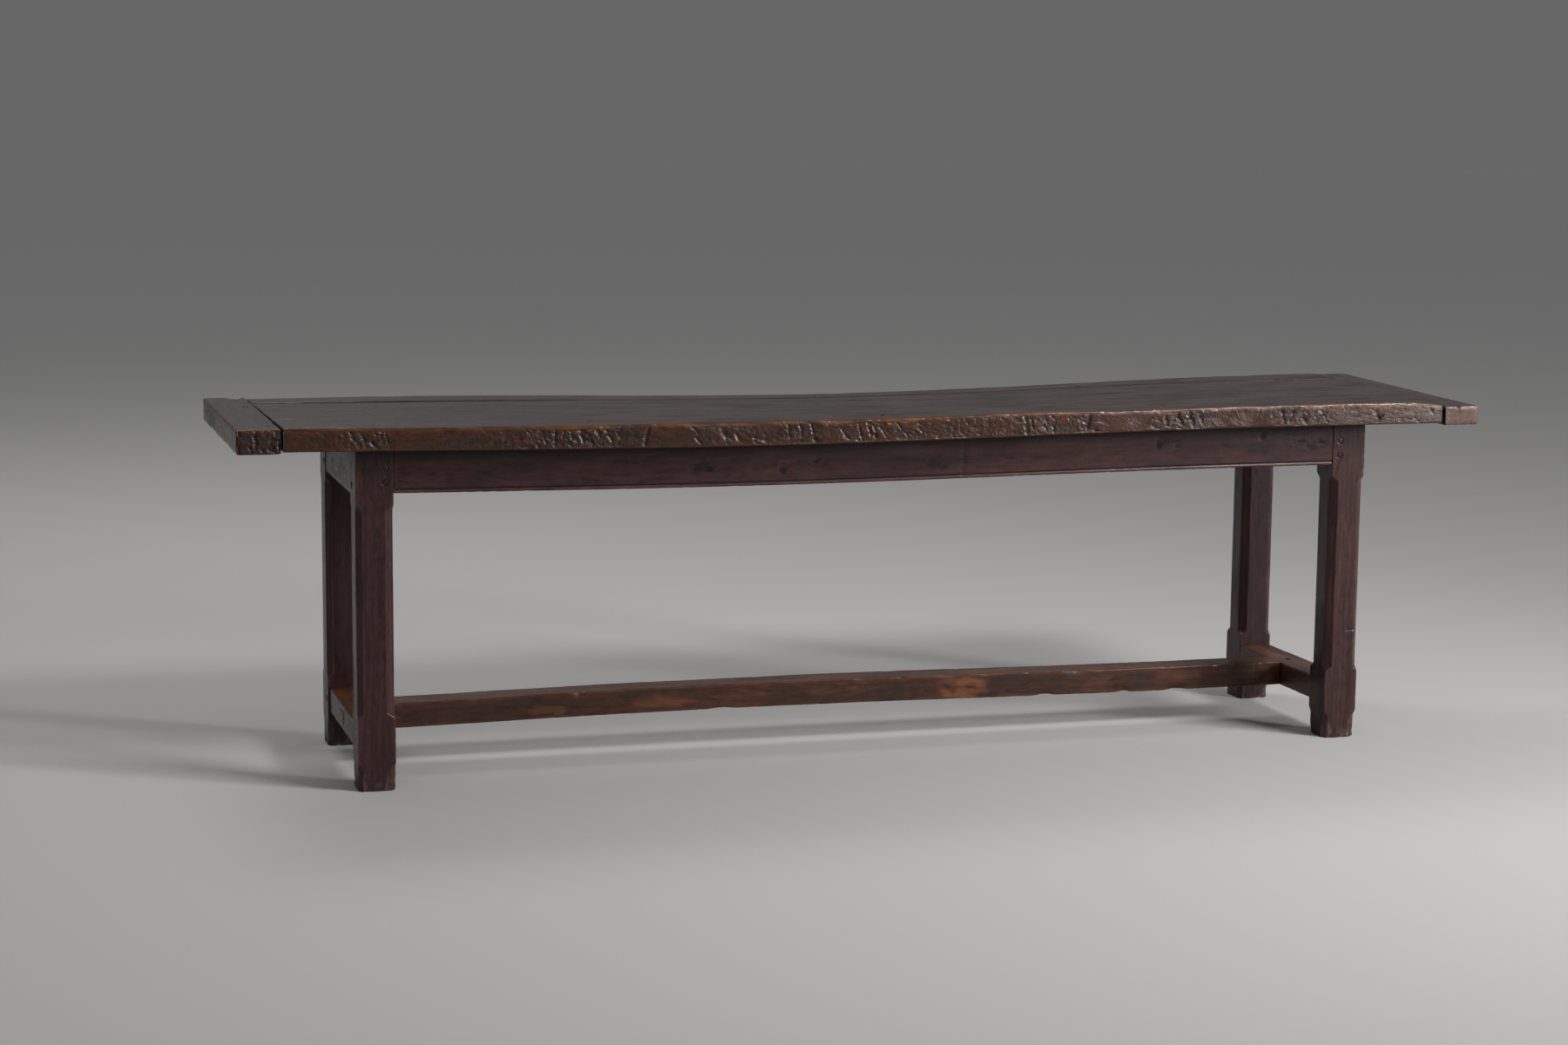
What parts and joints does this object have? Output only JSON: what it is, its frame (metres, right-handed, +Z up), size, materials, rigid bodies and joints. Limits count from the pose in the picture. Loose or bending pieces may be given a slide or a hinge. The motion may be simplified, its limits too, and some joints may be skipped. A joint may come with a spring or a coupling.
{
  "type": "farmhouse table",
  "caption": "Long oak farmhouse table: thick sagged plank top with breadboard ends on a pegged frame of stop-chamfered legs, beaded apron rails and a low H stretcher.",
  "frame": {"origin": "on the floor, under the middle of the top", "axes": "+X along the table to the right as seen from its front, +Y to the back, +Z up"},
  "size_m": [2.81, 0.674, 0.784],
  "materials": {
    "top_oak": "dark waxed old oak, worn glossy on top",
    "frame_oak": "dark red-brown waxed oak",
    "stretcher_oak": "worn amber-brown oak",
    "peg_oak": "dark oak pegs"
  },
  "bodies": {
    "root": {"top_front_plank": "top_oak", "top_back_plank": "top_oak", "left_breadboard_end": "top_oak", "right_breadboard_end": "top_oak", "front_left_leg": "frame_oak", "front_right_leg": "frame_oak", "back_left_leg": "frame_oak", "back_right_leg": "frame_oak", "front_apron_rail": "frame_oak", "back_apron_rail": "frame_oak", "left_end_rail": "frame_oak", "right_end_rail": "frame_oak", "left_end_stretcher": "stretcher_oak", "right_end_stretcher": "stretcher_oak", "centre_stretcher": "stretcher_oak", "plank_tongues": "peg_oak", "left_breadboard_pegs": "peg_oak", "right_breadboard_pegs": "peg_oak", "front_rail_pegs": "peg_oak", "back_rail_pegs": "peg_oak", "left_end_rail_pegs": "peg_oak", "right_end_rail_pegs": "peg_oak", "left_stretcher_pegs": "peg_oak", "right_stretcher_pegs": "peg_oak", "centre_stretcher_pegs": "peg_oak", "front_top_pegs": "peg_oak", "back_top_pegs": "peg_oak"}
  },
  "joints": []
}
